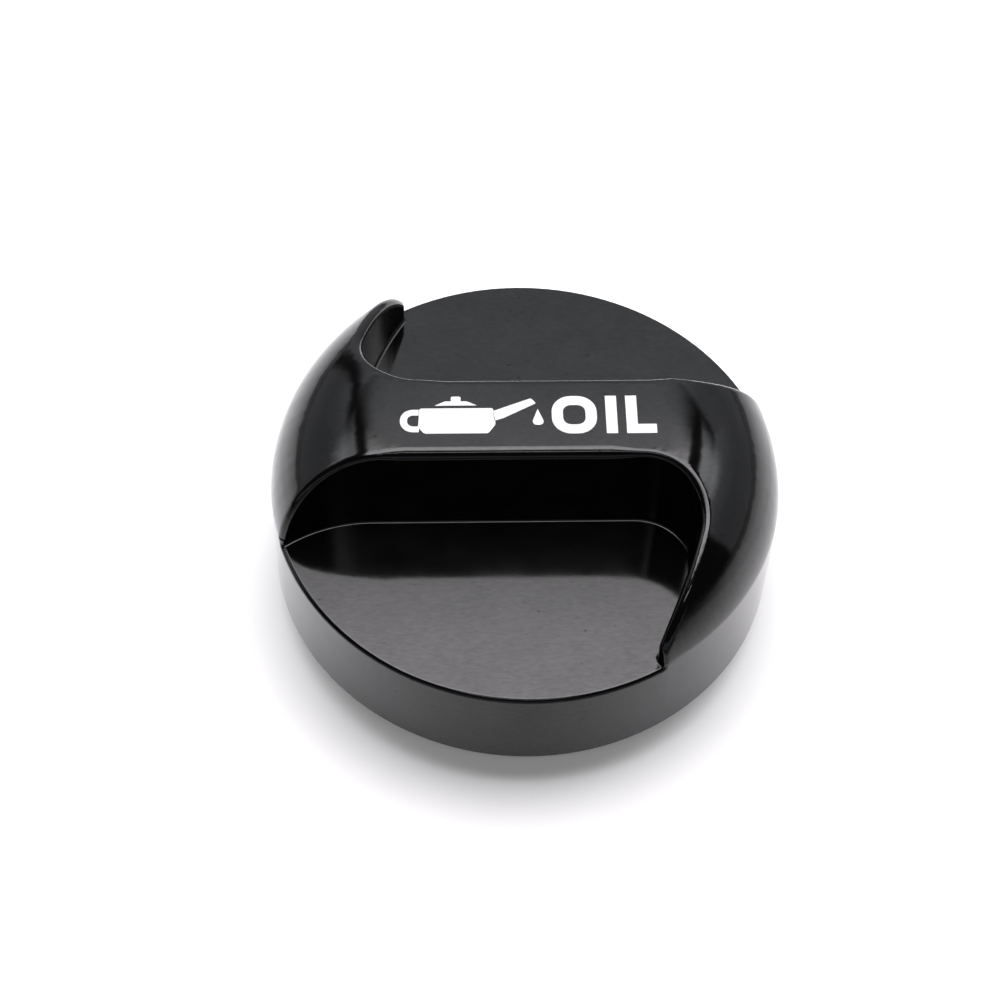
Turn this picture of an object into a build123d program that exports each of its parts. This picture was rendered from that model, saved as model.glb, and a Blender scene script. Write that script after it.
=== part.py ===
from build123d import *
from math import atan2, cos, degrees, radians, sin, sqrt
import os

# Oil filler cap: a twist cap turned and milled from one billet, with an O-ring under its deck.
# Millimetres, +Z up, origin on the axis at the end of the neck that the cap stands on.
# The grip bar runs along X. The cap has two-fold symmetry about Z.

# Outside of the cap
cap_dia = 70.0
skirt_depth = 15.1            # skirt edge up to the floor of the finger pockets
skirt_wall = 3.5
skirt_edge_r = 0.5
rim_edge_r = 0.65

# Grip bar and dome
grip_height = 15.4            # pocket floor up to the flat top of the bar
dome_r = 16.6
bar_width = 13.0
bar_edge_r = 1.45             # rolled edge along the straight of the bar
bar_roll_start = 4.5          # that roll widens over this run where it leaves the flare
bar_roll_end = 4.0            # and narrows again over this run before the corner
grip_edge_r = 0.9             # rolled edge round the rest of the pocket wall

# Plan of the front finger pocket: straight wall, flare at its left end, corner and sweep at its right
wall_root_r = 0.3
wall_over_root = 0.7          # plain wall between its rounded foot and the crease under the dome
flare_run = 13.9              # the flare leaves the straight wall this far inside the rim, along the bar
flare_r = 20.4
corner_r = 7.6
sweep_r = 46.7
horn_root_width = 12.7        # corner to rim, along the bar
horn_end_width = 1.9          # width of the radial face that ends each horn
horn_end_angle = 60.2         # azimuth of that face, from the bar's axis
horn_nose_r = 0.7             # rolls the end face's outline over the ridge of the horn
horn_edge_share = 0.435       # the rolled edge takes no more than this share of the horn's room
horn_nose_share = 0.9         # and the nose no more than this share of the rolled edge

# Underside: deck and neck
deck_thickness = 5.0
neck_dia = 38.0
neck_drop = 7.0               # neck end below the skirt edge
neck_wall = 4.0
pilot_relief = 0.5            # the plain end that finds the opening is this much smaller in radius
pilot_length = 4.2
neck_lead_chamfer = 0.8
neck_mouth_chamfer = 0.5
inner_corner_r = 1.5

# Bayonet lugs on the neck, each thinned at the end that leads when the cap is turned to close
lug_count = 2
lug_width = 17.0
lug_reach = 3.0
lug_thickness = 3.4
lug_offset = 0.1              # lugs above the foot of the full neck diameter
lug_ramp_run = 6.0
lug_ramp_drop = 1.4

# Sealing ring and its groove in the deck
ring_section = 3.5
ring_land = 1.55              # flat land between the neck and the groove
ring_stand_out = 0.9          # how far the free ring stands out of its groove
ring_side_clearance = 0.4
ring_seat_clearance = 0.05

# Levels and radii worked out from the sizes above
cap_r = cap_dia / 2
z_skirt = neck_drop
z_floor = z_skirt + skirt_depth
z_crease = z_floor + wall_root_r + wall_over_root
z_top = z_floor + grip_height
z_deck = z_floor - deck_thickness
dome_drop = dome_r - (z_top - z_crease)               # centre of the dome's arc below the crease
flat_r = cap_r - sqrt(dome_r**2 - dome_drop**2)
horn_room = flat_r + dome_r - cap_r + horn_end_width  # horn's width at its end, level with that centre
edge_r = min(grip_edge_r, horn_edge_share * horn_room)
nose_r = min(horn_nose_r, horn_nose_share * edge_r)
skirt_inner_r = cap_r - skirt_wall
neck_r = neck_dia / 2
pilot_r = neck_r - pilot_relief
z_neck = pilot_length + pilot_relief
bore_r = neck_r - neck_wall
groove_half = ring_section / 2 + ring_side_clearance
ring_mean_r = neck_r + ring_land + groove_half
groove_depth = ring_section + ring_seat_clearance - ring_stand_out
z_groove = z_deck + groove_depth
z_ring = z_groove - ring_seat_clearance - ring_section / 2
overlap = 1.0                 # how far a cut or a rooted feature runs past the face that it meets


def pocket_walls():
    # Tangent chain of the front pocket's wall in plan, and the point where the horn's end face starts
    wall_y = -bar_width / 2
    end = Vector(cos(radians(horn_end_angle)), -sin(radians(horn_end_angle)))
    nose = end * (cap_r - horn_end_width)
    wall = Line((flare_run - cap_r, wall_y), (cap_r - horn_root_width - corner_r, wall_y))
    flare = JernArc(wall @ 0, (-1, 0), flare_r, 90)
    # The sweep's circle holds the corner's circle inside it, touches it and passes through the nose
    corner_centre = wall @ 1 - Vector(0, corner_r)
    reach = nose - corner_centre
    inner = sweep_r - corner_r
    along = (inner**2 - sweep_r**2 + reach.length**2) / (2 * reach.length)
    aside = sqrt(inner**2 - along**2)
    to_nose = reach.normalized()
    to_centre = to_nose * along + Vector(to_nose.Y, -to_nose.X) * aside
    corner_turn = 90 - degrees(atan2(-to_centre.Y, -to_centre.X))
    corner = JernArc(wall @ 1, (1, 0), corner_r, -corner_turn)
    sweep = RadiusArc(corner @ 1, nose, sweep_r)
    return [flare, wall, corner, sweep], nose, end


def pocket_cutter(z_low, end_r=0, root_r=0):
    # Both pockets from z_low through the top, run well past the rim; root_r rounds the foot of the walls
    walls, nose, end = pocket_walls()
    far = end * (cap_r + 4 * overlap)
    start = walls[0] @ 1
    beyond = -2 * cap_r
    closing = Polyline(nose, far, (far.X, beyond), (start.X, beyond), start)
    plan = make_face(Curve() + walls + closing)
    if end_r:
        plan = fillet(plan.vertices().sort_by_distance(nose)[0], end_r)
    cutter = extrude(Pos(0, 0, z_low) * plan, z_top - z_low + overlap)
    if root_r:
        foot = cutter.edges().sort_by_distance((0, -bar_width / 2, z_low))[0]
        cutter = fillet(foot, root_r)
    return Part() + [cutter, Rot(0, 0, 180) * cutter]


def bar_roll():
    # Cove that widens the rolled edge along the straight of the front wall and runs out into the narrow roll
    x_flare = flare_run - cap_r
    x_corner = cap_r - horn_root_width - corner_r
    run_out = 0.98 * edge_r
    stations = [
        (x_flare, run_out),
        (x_flare + bar_roll_start, bar_edge_r),
        (x_corner - bar_roll_end, bar_edge_r),
        (x_corner, run_out),
    ]
    sections = []
    for x, r in stations:
        with BuildSketch(Plane((x, -bar_width / 2, z_top), x_dir=(0, 1, 0), z_dir=(1, 0, 0))) as cove:
            with BuildLine():
                CenterArc((r, -r), r, 90, 90)
                Polyline((0, -r), (-overlap, -r), (-overlap, overlap), (r, overlap), (r, 0))
            make_face()
        sections.append(cove.sketch.face())
    return loft(sections, ruled=True)


def grip():
    # Bar and horns between the pockets. The dome's arc is carried below the crease while its edges are
    # rolled, so that the roll can run past the crease at the horns; then the grip is cut off there.
    z_low = z_top - dome_r - 4 * overlap
    with BuildPart() as dome:
        with BuildSketch(Plane.XZ):
            with BuildLine():
                Polyline((flat_r, z_top), (0, z_top), (0, z_low), (flat_r + dome_r, z_low),
                         (flat_r + dome_r, z_top - dome_r))
                CenterArc((flat_r, z_top - dome_r), dome_r, 0, 90)
            make_face()
        revolve(axis=Axis.Z)
    solid = dome.part - pocket_cutter(z_low - overlap)
    straights = solid.edges().filter_by(Axis.X).group_by(Axis.Z)[-1]
    solid = fillet(straights, edge_r)
    roll = bar_roll()
    solid = solid - [roll, Rot(0, 0, 180) * roll]
    nose = pocket_walls()[1]
    uprights = [
        solid.edges().filter_by(Axis.Z).sort_by_distance((turn * nose.X, turn * nose.Y, z_crease))[0]
        for turn in (1, -1)
    ]
    solid = fillet(uprights, nose_r)
    return split(solid, Plane.XY.offset(z_crease), keep=Keep.TOP)


def base():
    # Skirt, deck and neck as one turned section, then the pocket floors milled into its top
    with BuildPart() as turned:
        with BuildSketch(Plane.XZ) as section:
            with BuildLine():
                Polyline(
                    (0, z_crease),
                    (cap_r, z_crease),
                    (cap_r, z_skirt),
                    (skirt_inner_r, z_skirt),
                    (skirt_inner_r, z_deck),
                    (ring_mean_r + groove_half, z_deck),
                    (ring_mean_r + groove_half, z_groove),
                    (ring_mean_r - groove_half, z_groove),
                    (ring_mean_r - groove_half, z_deck),
                    (neck_r, z_deck),
                    (neck_r, z_neck),
                    (pilot_r, pilot_length),
                    (pilot_r, 0),
                    (bore_r, 0),
                    (bore_r, z_deck),
                    (0, z_deck),
                    close=True,
                )
            make_face()
            foot = section.vertices().filter_by_position(Axis.Y, z_skirt, z_skirt)
            fillet(foot, skirt_edge_r)
            fillet(section.vertices().sort_by_distance((skirt_inner_r, z_deck))[0], inner_corner_r)
            fillet(section.vertices().sort_by_distance((bore_r, z_deck))[0], inner_corner_r)
            chamfer(section.vertices().sort_by_distance((pilot_r, 0))[0], neck_lead_chamfer)
            chamfer(section.vertices().sort_by_distance((bore_r, 0))[0], neck_mouth_chamfer)
        revolve(axis=Axis.Z)
    solid = turned.part - pocket_cutter(z_floor, nose_r, wall_root_r)
    rims = [solid.edges().sort_by_distance((0, turn * cap_r, z_floor))[0] for turn in (1, -1)]
    return fillet(rims, rim_edge_r)


def lug(azimuth):
    # Ring segment with an upright outline; its top slopes down to the leading end
    half = lug_width / 2
    z_low = z_neck + lug_offset
    z_high = z_low + lug_thickness
    side = Plane((0, 0, 0), x_dir=(0, 1, 0), z_dir=(1, 0, 0))
    outline = Polyline(
        (-half, z_low),
        (half, z_low),
        (half, z_high),
        (-half + lug_ramp_run, z_high),
        (-half, z_high - lug_ramp_drop),
        close=True,
    )
    bar = extrude(side * make_face(outline), neck_r + lug_reach + overlap)
    ring = Cylinder(neck_r + lug_reach, z_high) - Cylinder(neck_r - overlap, z_high)
    return Rot(0, 0, azimuth) * (bar & Pos(0, 0, z_high / 2) * ring)


def sealing_ring():
    return Pos(0, 0, z_ring) * Torus(ring_mean_r, ring_section / 2)


cap_body = grip() + base()
for i in range(lug_count):
    cap_body += lug(90 + i * 360 / lug_count)

os.makedirs("parts", exist_ok=True)
export_step(cap_body, "parts/cap_body.step")
export_step(sealing_ring(), "parts/sealing_ring.step")
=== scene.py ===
from math import pi, radians

import bmesh
import bpy
from mathutils import Matrix, Vector


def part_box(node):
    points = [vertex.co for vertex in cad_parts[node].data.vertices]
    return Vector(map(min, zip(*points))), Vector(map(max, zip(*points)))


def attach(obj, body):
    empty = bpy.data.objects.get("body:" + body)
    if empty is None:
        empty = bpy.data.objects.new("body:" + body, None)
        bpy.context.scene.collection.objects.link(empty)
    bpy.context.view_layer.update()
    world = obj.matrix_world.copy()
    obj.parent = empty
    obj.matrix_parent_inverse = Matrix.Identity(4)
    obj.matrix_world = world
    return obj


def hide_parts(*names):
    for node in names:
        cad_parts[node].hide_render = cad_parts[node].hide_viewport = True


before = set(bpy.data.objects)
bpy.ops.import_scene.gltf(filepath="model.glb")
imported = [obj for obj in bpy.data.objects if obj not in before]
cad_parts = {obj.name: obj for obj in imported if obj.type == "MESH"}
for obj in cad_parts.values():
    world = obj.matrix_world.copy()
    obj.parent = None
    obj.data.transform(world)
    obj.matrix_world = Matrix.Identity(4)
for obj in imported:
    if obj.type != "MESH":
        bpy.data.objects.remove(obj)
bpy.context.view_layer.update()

scene = bpy.context.scene
mm = 0.001
middle = (0.3, 0.7)              # levels that most of a noise lies between
print("frame loaded:", sorted(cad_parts))


# small helpers for node materials and meshes

def newMaterial(name):
    mat = bpy.data.materials.new(name)
    mat.use_nodes = True
    nodes = mat.node_tree.nodes
    nodes.clear()
    out = nodes.new("ShaderNodeOutputMaterial")
    return mat, nodes, mat.node_tree.links, out


def noise(nodes, links, coords, scale, detail=2.0, rough=0.6, stretch=(1, 1, 1)):
    mapping = nodes.new("ShaderNodeMapping")
    mapping.inputs["Scale"].default_value = stretch
    links.new(coords.outputs["Object"], mapping.inputs["Vector"])
    tex = nodes.new("ShaderNodeTexNoise")
    tex.inputs["Scale"].default_value = scale
    tex.inputs["Detail"].default_value = detail
    tex.inputs["Roughness"].default_value = rough
    links.new(mapping.outputs["Vector"], tex.inputs["Vector"])
    return tex.outputs["Fac"]


def spread(nodes, links, fac, low, high, fromLow=0.0, fromHigh=1.0):
    ramp = nodes.new("ShaderNodeMapRange")
    ramp.inputs["From Min"].default_value = fromLow
    ramp.inputs["From Max"].default_value = fromHigh
    ramp.inputs["To Min"].default_value = low
    ramp.inputs["To Max"].default_value = high
    links.new(fac, ramp.inputs["Value"])
    return ramp.outputs["Result"]


def bump(nodes, links, height, strength, distance):
    node = nodes.new("ShaderNodeBump")
    node.inputs["Strength"].default_value = strength
    node.inputs["Distance"].default_value = distance
    links.new(height, node.inputs["Height"])
    return node.outputs["Normal"]


def meshPiece(name, bm, mat):
    mesh = bpy.data.meshes.new(name)
    bm.to_mesh(mesh)
    bm.free()
    mesh.materials.append(mat)
    piece = bpy.data.objects.new(name, mesh)
    scene.collection.objects.link(piece)
    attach(piece, "root")
    return piece


# black anodised billet

anodise = {
    "colour": (0.0016, 0.0016, 0.0017, 1),
    "ior": 1.5,
    "rough": (0.07, 0.11),
    "gloss": 0.5,                # specular level, before the changes that follow
    "mottleScale": 180,          # cloudy unevenness of the dye and the etch
    "mottleDetail": 3.0,
    "mottleRough": 0.55,
    "mottleGloss": 0.03,
    "drawScale": 3200,           # fine cutter lines along the bar, that the etch leaves
    "drawStretch": (0.28, 1, 1),
    "drawLevels": (0.25, 0.75),
    "drawGloss": 0.07,
    "pitScale": 1300,            # rare pits that mirror less
    "pitLevels": (0.80, 0.86),   # noise levels at a pit's rim and in its middle
    "pitGloss": 0.16,
    "grainScale": 2600,          # fine blasted grain under the film
    "grainStrength": 0.5,
    "grainDepth": 0.0012 * mm,
}


def anodiseMaterial(spec):
    mat, nodes, links, out = newMaterial("blackAnodise")
    coords = nodes.new("ShaderNodeTexCoord")
    shader = nodes.new("ShaderNodeBsdfPrincipled")
    shader.inputs["Base Color"].default_value = spec["colour"]
    shader.inputs["IOR"].default_value = spec["ior"]
    mottle = noise(nodes, links, coords, spec["mottleScale"], spec["mottleDetail"],
                   spec["mottleRough"])
    links.new(spread(nodes, links, mottle, *spec["rough"], *middle), shader.inputs["Roughness"])
    drawn = noise(nodes, links, coords, spec["drawScale"], stretch=spec["drawStretch"])
    pits = noise(nodes, links, coords, spec["pitScale"], detail=0.0)
    gloss = spread(nodes, links, mottle, spec["gloss"] - spec["mottleGloss"],
                   spec["gloss"] + spec["mottleGloss"], *middle)
    for change in (
        spread(nodes, links, drawn, -spec["drawGloss"], spec["drawGloss"], *spec["drawLevels"]),
        spread(nodes, links, pits, 0.0, -spec["pitGloss"], *spec["pitLevels"]),
    ):
        total = nodes.new("ShaderNodeMath")
        links.new(gloss, total.inputs[0])
        links.new(change, total.inputs[1])
        gloss = total.outputs[0]
    links.new(gloss, shader.inputs["Specular IOR Level"])
    grain = noise(nodes, links, coords, spec["grainScale"])
    links.new(bump(nodes, links, grain, spec["grainStrength"], spec["grainDepth"]),
              shader.inputs["Normal"])
    links.new(shader.outputs["BSDF"], out.inputs["Surface"])
    return mat


shell = {
    "weld": 0.002 * mm,
    "sharpAngle": radians(28),
    # rounded edges: lower and upper height, and the radius that they lie outside of
    "skirtEdge": (7.0 * mm, 7.5 * mm, 31 * mm),
    "rimRoll": (21.45 * mm, 22.1 * mm, 33 * mm),
    "wallFoot": (22.1 * mm, 22.4 * mm, 0),
    "slack": 0.001 * mm,         # play in these heights
}


def alongRoll(bm, roll, slack):
    # triangles that lie askew over a rounded edge are turned to follow it
    low, high, inside = roll
    across = set()
    for edge in bm.edges:
        foot, head = sorted(vert.co.z for vert in edge.verts)
        outside = all(vert.co.xy.length > inside for vert in edge.verts)
        if outside and low - slack < foot < high - slack and low + slack < head < high + slack:
            across.add(edge)
    beside = [face for face in bm.faces if across.intersection(face.edges)]
    bmesh.ops.beautify_fill(bm, faces=beside, method="ANGLE",
                            edges=[edge for edge in bm.edges if edge in across])


def capShell(spec, mat):
    bm = bmesh.new()
    bm.from_mesh(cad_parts["cap_body"].data)
    bmesh.ops.remove_doubles(bm, verts=bm.verts, dist=spec["weld"])
    for roll in ("skirtEdge", "rimRoll", "wallFoot"):
        alongRoll(bm, spec[roll], spec["slack"])
    for face in bm.faces:
        face.smooth = True
    # the rounded foot of the pocket walls has no sharp edge, however steep its triangles are
    low, high = spec["wallFoot"][0] - spec["slack"], spec["wallFoot"][1] + spec["slack"]
    for edge in bm.edges:
        inFoot = all(low < vert.co.z < high for vert in edge.verts)
        flat = edge.calc_face_angle(0) < spec["sharpAngle"]
        edge.smooth = edge.is_manifold and (inFoot or flat)
    openEdges = sum(not edge.is_manifold for edge in bm.edges)
    print("cap shell: %d faces, open edges %d" % (len(bm.faces), openEdges))
    piece = meshPiece("capShell", bm, mat)
    even = piece.modifiers.new("evenShading", "WEIGHTED_NORMAL")
    even.keep_sharp = True
    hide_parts("cap_body")


capShell(shell, anodiseMaterial(anodise))
print("cap shell made")


# rubber ring under the deck

ring = {
    "sides": 28,
    "steps": 160,
    "weld": 0.005 * mm,
    "colour": (0.012, 0.012, 0.0125, 1),
    "rough": (0.52, 0.74),
    "bloomScale": 700,           # dull bloom on the rubber
    "bloomDetail": 4.0,
    "bloomStrength": 0.4,
    "bloomDepth": 0.01 * mm,
}


def rubberMaterial(spec):
    mat, nodes, links, out = newMaterial("ringRubber")
    coords = nodes.new("ShaderNodeTexCoord")
    shader = nodes.new("ShaderNodeBsdfPrincipled")
    shader.inputs["Base Color"].default_value = spec["colour"]
    bloom = noise(nodes, links, coords, spec["bloomScale"], spec["bloomDetail"])
    links.new(spread(nodes, links, bloom, *spec["rough"], *middle), shader.inputs["Roughness"])
    links.new(bump(nodes, links, bloom, spec["bloomStrength"], spec["bloomDepth"]),
              shader.inputs["Normal"])
    links.new(shader.outputs["BSDF"], out.inputs["Surface"])
    return mat


def sealRing(spec, mat):
    low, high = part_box("sealing_ring")
    half = (high.z - low.z) / 2
    mean = high.x - half
    bm = bmesh.new()
    made = bmesh.ops.create_circle(bm, segments=spec["sides"], radius=half)
    place = Matrix.Translation((mean, 0, low.z + half)) @ Matrix.Rotation(pi / 2, 4, "X")
    bmesh.ops.transform(bm, matrix=place, verts=made["verts"])
    bmesh.ops.spin(bm, geom=bm.verts[:] + bm.edges[:], cent=(0, 0, 0), axis=(0, 0, 1),
                   angle=2 * pi, steps=spec["steps"], use_merge=True)
    bmesh.ops.remove_doubles(bm, verts=bm.verts, dist=spec["weld"])
    bmesh.ops.recalc_face_normals(bm, faces=bm.faces)
    for face in bm.faces:
        face.smooth = True
    piece = meshPiece("sealRing", bm, mat)
    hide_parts("sealing_ring")


sealRing(ring, rubberMaterial(ring))
print("sealing ring made")


# white print on the flat top of the grip bar: an oil can with a drop, and what goes in

sign = {
    "lift": 0.02 * mm,           # film thickness, above the bar's flat top
    "cut": 0.001 * mm,           # points this near to a cut lie on it
    "colour": (0.80, 0.80, 0.81, 1),
    "rough": (0.42, 0.58),
    "fleckScale": 1500,
    "fleckDetail": 3.0,
    "fleckStrength": 0.3,
    "fleckDepth": 0.004 * mm,
    # the can, in millimetres: a hoop has two corners, a radius and a stroke; a plate has its
    # points, a corner radius and, where not all of its corners are round, the ones that are
    "handle": ((-17.1, -2.7), (-12.9, 1.0), 1.75, 0.95),
    "handleEnd": -14.6,
    "pot": ([(-13.9, -2.95), (-5.4, -2.95), (-4.4, -1.5), (-4.7, 1.2), (-14.5, 1.2),
             (-14.7, -1.9)], 0.3),
    "spout": ([(-4.55, -0.9), (-3.3, -0.45), (1.05, 1.95), (0.4, 2.8), (-4.7, 0.7)],
              0.22, [2, 3]),
    "lid": ([(-12.5, 1.65), (-6.8, 1.65), (-8.2, 2.35), (-11.1, 2.35)], 0.12),
    "knob": ([(-10.3, 2.35), (-9.0, 2.35), (-9.0, 3.15), (-10.3, 3.15)], 0.25, [2, 3]),
    "drop": ([(1.25, 1.0), (0.25, -1.65), (2.25, -1.65)], 0.95, [1, 2]),
    # the letters
    "letterHeight": 6.2,
    "stroke": 1.5,
    "letterO": (3.1, 9.1),       # left and right ends of the letters
    "letterI": 10.3,
    "letterL": (13.0, 17.0),
    "bowl": 2.6,                 # corner radius of the round letter
    "corner": 0.08,              # and of the straight ones
}


def printMaterial(spec):
    mat, nodes, links, out = newMaterial("whitePrint")
    coords = nodes.new("ShaderNodeTexCoord")
    shader = nodes.new("ShaderNodeBsdfPrincipled")
    shader.inputs["Base Color"].default_value = spec["colour"]
    fleck = noise(nodes, links, coords, spec["fleckScale"], spec["fleckDetail"])
    links.new(spread(nodes, links, fleck, *spec["rough"], *middle), shader.inputs["Roughness"])
    links.new(bump(nodes, links, fleck, spec["fleckStrength"], spec["fleckDepth"]),
              shader.inputs["Normal"])
    links.new(shader.outputs["BSDF"], out.inputs["Surface"])
    return mat


def plate(bm, points, corner, which=None, steps=9):
    # flat plate through these points, with some or all of its corners rounded
    before = set(bm.faces)
    verts = [bm.verts.new((x * mm, y * mm, 0)) for x, y in points]
    bm.faces.new(verts)
    rounded = verts if which is None else [verts[i] for i in which]
    bmesh.ops.bevel(bm, geom=rounded, offset=corner * mm, offset_type="OFFSET", segments=steps,
                    profile=0.5, affect="VERTICES", material=-1, clamp_overlap=True)
    return [face for face in bm.faces if face not in before]


def hoop(bm, low, high, corner, stroke):
    # rounded plate with an even band left round its edge
    inner = plate(bm, [low, (high[0], low[1]), high, (low[0], high[1])], corner)
    bmesh.ops.inset_region(bm, faces=inner, thickness=stroke * mm, use_even_offset=True,
                           use_boundary=True)
    bmesh.ops.delete(bm, geom=inner, context="FACES_ONLY")


def oilMark(spec, mat):
    tall, wide = spec["letterHeight"] / 2, spec["stroke"]
    bm = bmesh.new()
    # the can's handle is the outer half of a hoop, so it is cut before the rest is drawn
    hoop(bm, *spec["handle"])
    bmesh.ops.bisect_plane(bm, geom=bm.verts[:] + bm.edges[:] + bm.faces[:], dist=spec["cut"],
                           plane_co=(spec["handleEnd"] * mm, 0, 0), plane_no=(1, 0, 0),
                           clear_outer=True)
    for part in ("pot", "spout", "lid", "knob", "drop"):
        plate(bm, *spec[part])
    left, right = spec["letterO"]
    hoop(bm, (left, -tall), (right, tall), spec["bowl"], wide)
    left = spec["letterI"]
    plate(bm, [(left, -tall), (left + wide, -tall), (left + wide, tall), (left, tall)],
          spec["corner"])
    left, right = spec["letterL"]
    plate(bm, [(left, -tall), (right, -tall), (right, wide - tall), (left + wide, wide - tall),
               (left + wide, tall), (left, tall)], spec["corner"])
    for face in bm.faces:
        face.normal_update()
        if face.normal.z < 0:
            face.normal_flip()
    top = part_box("cap_body")[1].z
    bmesh.ops.translate(bm, verts=bm.verts, vec=(0, 0, top + spec["lift"]))
    meshPiece("oilMark", bm, mat)


oilMark(sign, printMaterial(sign))
print("print made")


# camera

camera = {
    "place": (-14.590 * mm, -194.257 * mm, 298.971 * mm),
    "turn": (34.6533, -1.2627, -1.4841),
    "lens": 88.2,
    "sensor": 36.0,
    "near": 0.01,
}


def addCamera(spec):
    data = bpy.data.cameras.new("productCamera")
    data.lens = spec["lens"]
    data.sensor_width = spec["sensor"]
    data.sensor_fit = "HORIZONTAL"
    data.clip_start = spec["near"]
    cam = bpy.data.objects.new("productCamera", data)
    cam.location = spec["place"]
    cam.rotation_euler = [radians(angle) for angle in spec["turn"]]
    scene.collection.objects.link(cam)
    scene.camera = cam


addCamera(camera)
print("camera placed")


# white table in a darker room, and studio lights, squared up with the camera and not with the bar

studioTurn = Matrix.Rotation(radians(-3.31), 4, "Z")

table = {
    "radius": 1.2,
    "sides": 96,
    "drop": 0.02 * mm,           # so that no face of the neck's end lies in the table
    "board": (0.24, 0.26),       # the white board in the reflections ends between these radii
    "colour": 0.86,              # tone of the board
    "around": 0.30,              # and of the table round it
    "seen": 1.38,                # exposure of the board, where it is seen
    "veil": 0.15,                # share of plain white over it, so that the shadow stays pale
    "clear": (0.12, 0.30),       # the seen board runs out into white between these radii
    "paintedShadeFront": (-0.070, 0.28),     # painted shade in reflections of the table, darker towards the front: place and share there
    "paintedLightSides": (0.005, 1.48),      # and painted light in those reflections at the sides
    "round": 0.45,               # how far that bends round the sides
    "roundEnd": 0.04,
    "far": (0.045, 0.20, 0.55),  # painted shade: mirrored, the table falls off between these radii, to this share
    "paintedLean": (0.06, 0.08),        # and painted light: mirrored, it is lighter on the left than on the right: place and share
}


def addTable(spec):
    mat, nodes, links, out = newMaterial("paleTable")
    coords = nodes.new("ShaderNodeTexCoord")
    path = nodes.new("ShaderNodeLightPath")
    seen = path.outputs["Is Camera Ray"]
    mirrored = path.outputs["Is Glossy Ray"]

    def maths(operation, *values):
        node = nodes.new("ShaderNodeMath")
        node.operation = operation
        for socket, value in zip(node.inputs, values):
            if isinstance(value, (int, float)):
                socket.default_value = value
            else:
                links.new(value, socket)
        return node.outputs[0]

    length = nodes.new("ShaderNodeVectorMath")
    length.operation = "LENGTH"
    links.new(coords.outputs["Object"], length.inputs[0])
    away = length.outputs["Value"]
    place = nodes.new("ShaderNodeSeparateXYZ")
    links.new(coords.outputs["Object"], place.inputs["Vector"])

    # tone of the board and of what is round it; the camera sees the board's tone all over
    fall = spread(nodes, links, away, spec["colour"], spec["around"], *spec["board"])
    tone = nodes.new("ShaderNodeMix")
    links.new(seen, tone.inputs["Factor"])
    links.new(fall, tone.inputs["A"])
    tone.inputs["B"].default_value = spec["colour"]

    # painted shade and light on the table, seen only in reflections: shares of that tone, darker
    # towards the front, lighter at the sides and on the left, falling off further out
    aside = maths("MINIMUM", maths("ABSOLUTE", place.outputs["X"]), spec["roundEnd"])
    along = maths("MULTIPLY_ADD", aside, spec["round"], place.outputs["Y"])
    (shadeAt, shadeShare), (lightAt, lightShare) = spec["paintedShadeFront"], spec["paintedLightSides"]
    paintedTableShading = spread(nodes, links, along, shadeShare, lightShare, shadeAt, lightAt)
    farLow, farHigh, farShare = spec["far"]
    paintedTableShading = maths("MULTIPLY", paintedTableShading,
                   spread(nodes, links, away, 1.0, farShare, farLow, farHigh))
    leanAt, leanShare = spec["paintedLean"]
    paintedTableShading = maths("MULTIPLY", paintedTableShading, spread(nodes, links, place.outputs["X"], 1 + leanShare,
                                              1 - leanShare, -leanAt, leanAt))
    paintedShare = maths("MULTIPLY_ADD", maths("SUBTRACT", paintedTableShading, 1.0), mirrored, 1.0)
    lift = maths("MULTIPLY", spread(nodes, links, seen, 1.0, spec["seen"]), paintedShare)
    shader = nodes.new("ShaderNodeBsdfDiffuse")
    links.new(maths("MULTIPLY", tone.outputs["Result"], lift), shader.inputs["Color"])

    # away from the shadow, the camera sees plain white
    white = nodes.new("ShaderNodeEmission")
    clear = maths("MULTIPLY", seen,
                  spread(nodes, links, away, spec["veil"], 1.0, *spec["clear"]))
    mixed = nodes.new("ShaderNodeMixShader")
    links.new(clear, mixed.inputs["Fac"])
    links.new(shader.outputs["BSDF"], mixed.inputs[1])
    links.new(white.outputs["Emission"], mixed.inputs[2])
    links.new(mixed.outputs["Shader"], out.inputs["Surface"])

    bm = bmesh.new()
    bmesh.ops.create_circle(bm, cap_ends=True, segments=spec["sides"], radius=spec["radius"],
                            matrix=Matrix.Translation((0, 0, -spec["drop"])))
    mesh = bpy.data.meshes.new("table")
    bm.to_mesh(mesh)
    bm.free()
    mesh.materials.append(mat)
    floor = bpy.data.objects.new("table", mesh)
    scene.collection.objects.link(floor)


addTable(table)
print("table laid")

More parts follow.
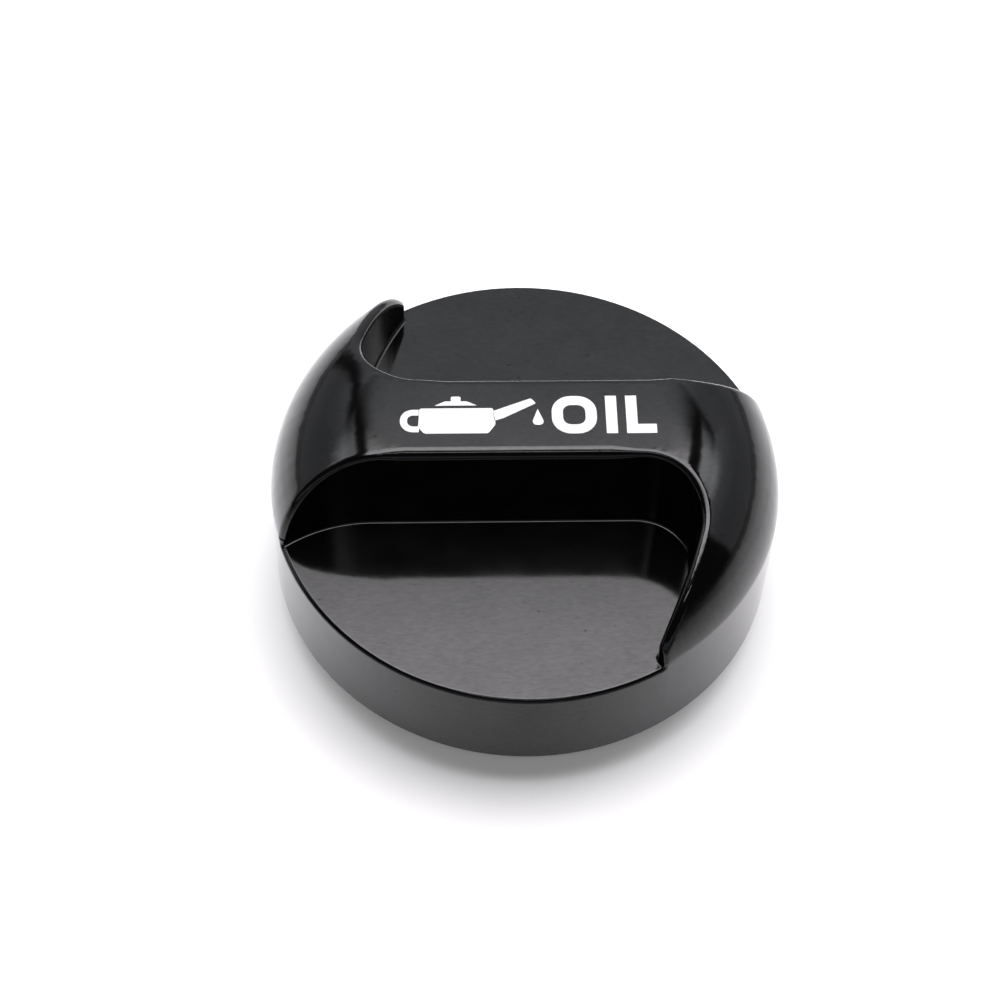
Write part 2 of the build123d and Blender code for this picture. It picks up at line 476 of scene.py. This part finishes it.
# each panel: centre and aim in metres, width and height, glow at its top, share of that at its
# foot, soft edges at its low and high ends, across and along, as shares of the side
lamps = [
    {"name": "overheadBox", "at": (0.025, 0.16, 0.75), "aim": (0.025, 0.16, 0),
     "size": (0.81, 0.80), "glow": 4.05, "foot": 1.45,
     "edge": ((0.10, 0.05), (0.28, 0.20)), "tint": (1.03, 1.0, 1.03)},
    {"name": "leftWing", "at": (-0.97, 0.425, 0.75), "aim": (-0.97, 0.425, 0),
     "size": (0.96, 0.51), "glow": 2.05, "foot": 1.0,
     "edge": ((0.78, 0.07), (0.42, 0.60)), "tint": (0.98, 1.0, 1.04)},
    {"name": "rightWing", "at": (0.925, 0.465, 0.75), "aim": (0.925, 0.465, 0),
     "size": (0.75, 0.59), "glow": 3.05, "foot": 1.0,
     "edge": ((0.10, 0.90), (0.38, 0.45)), "tint": (0.98, 1.0, 1.04)},
    {"name": "backWall", "at": (-0.01, 0.80, 0.60), "aim": (-0.01, 0, 0.60),
     "size": (1.24, 1.15), "glow": 1.12, "foot": 0.1,
     "edge": ((0.27, 0.27), (0.03, 0.03)), "tint": (0.97, 1.0, 1.06)},
    {"name": "lowBand", "at": (0.23, 0.90, 0.45), "aim": (0.23, 0, 0.45),
     "size": (1.74, 0.96), "glow": 0.62, "foot": 0.65,
     "edge": ((0.05, 0.05), (0.01, 0.12)), "tint": (0.98, 1.0, 1.05)},
    {"name": "leftWall", "at": (-0.86, 0.565, 0.515), "aim": (0, 0.565, 0.515),
     "size": (1.17, 1.07), "glow": 0.75, "foot": 0.5,
     "edge": ((0.10, 0.05), (0.01, 0.25)), "tint": (0.98, 1.0, 1.05)},
    {"name": "rightWall", "at": (0.86, 0.37, 0.385), "aim": (0, 0.37, 0.385),
     "size": (0.78, 0.81), "glow": 0.9, "foot": 0.42,
     "edge": ((0.03, 0.08), (0.01, 0.15)), "tint": (0.98, 1.0, 1.05)},
    {"name": "frontStrip", "at": (0.0, -0.495, 0.90), "aim": (0, 0, 0.03),
     "size": (0.62, 0.09), "glow": 4.5, "foot": 1.0,
     "edge": ((0.25, 0.25), (0.2, 0.2)), "tint": (1, 1, 1)},
    {"name": "frontLow", "at": (0.0, -1.0, 0.17), "aim": (0, 0, 0.17),
     "size": (3.6, 0.38), "glow": 0.3, "foot": 1.0,
     "edge": ((0.03, 0.03), (0.02, 0.30)), "tint": (0.92, 1.0, 1.14)},
]
footRise = (0.30, 0.95)          # the glow goes from the foot's share to its full between these


def addLamp(spec):
    data = bpy.data.lights.new(spec["name"], "AREA")
    data.shape = "RECTANGLE"
    data.size, data.size_y = spec["size"]
    data.energy = spec["glow"] * pi * data.size * data.size_y
    data.color = spec["tint"]
    data.use_nodes = True
    nodes, links = data.node_tree.nodes, data.node_tree.links
    place = nodes.new("ShaderNodeNewGeometry")
    sides = nodes.new("ShaderNodeSeparateXYZ")
    links.new(place.outputs["Parametric"], sides.inputs["Vector"])

    def fade(axis, start, end, low=0.0, high=1.0):
        node = nodes.new("ShaderNodeMapRange")
        node.interpolation_type = "SMOOTHSTEP"
        node.inputs["From Min"].default_value = start
        node.inputs["From Max"].default_value = end
        node.inputs["To Min"].default_value = low
        node.inputs["To Max"].default_value = high
        links.new(sides.outputs[axis], node.inputs["Value"])
        return node.outputs["Result"]

    strength = fade("Y", *footRise, spec["foot"], 1.0)
    for axis, (low, high) in zip(("X", "Y"), spec["edge"]):
        for soft in (fade(axis, 0.0, low), fade(axis, 1.0, 1.0 - high)):
            times = nodes.new("ShaderNodeMath")
            times.operation = "MULTIPLY"
            links.new(strength, times.inputs[0])
            links.new(soft, times.inputs[1])
            strength = times.outputs[0]
    links.new(strength, nodes["Emission"].inputs["Strength"])
    lamp = bpy.data.objects.new(spec["name"], data)
    at = studioTurn @ Vector(spec["at"])
    aim = studioTurn @ Vector(spec["aim"])
    lamp.location = at
    lamp.rotation_euler = (aim - at).to_track_quat("-Z", "Y").to_euler()
    scene.collection.objects.link(lamp)


for lampSpec in lamps:
    addLamp(lampSpec)
print("lamps:", len(lamps))

room = {
    "glow": 0.02,
    "seen": 1.0,                 # plain white behind the table
}


def addWorld(spec):
    world = bpy.data.worlds.new("studio")
    world.use_nodes = True
    nodes, links = world.node_tree.nodes, world.node_tree.links
    back = nodes["Background"]
    back.inputs["Color"].default_value = (1, 1, 1, 1)
    path = nodes.new("ShaderNodeLightPath")
    links.new(spread(nodes, links, path.outputs["Is Camera Ray"], spec["glow"], spec["seen"]),
              back.inputs["Strength"])
    scene.world = world


addWorld(room)
scene.view_settings.view_transform = "Standard"
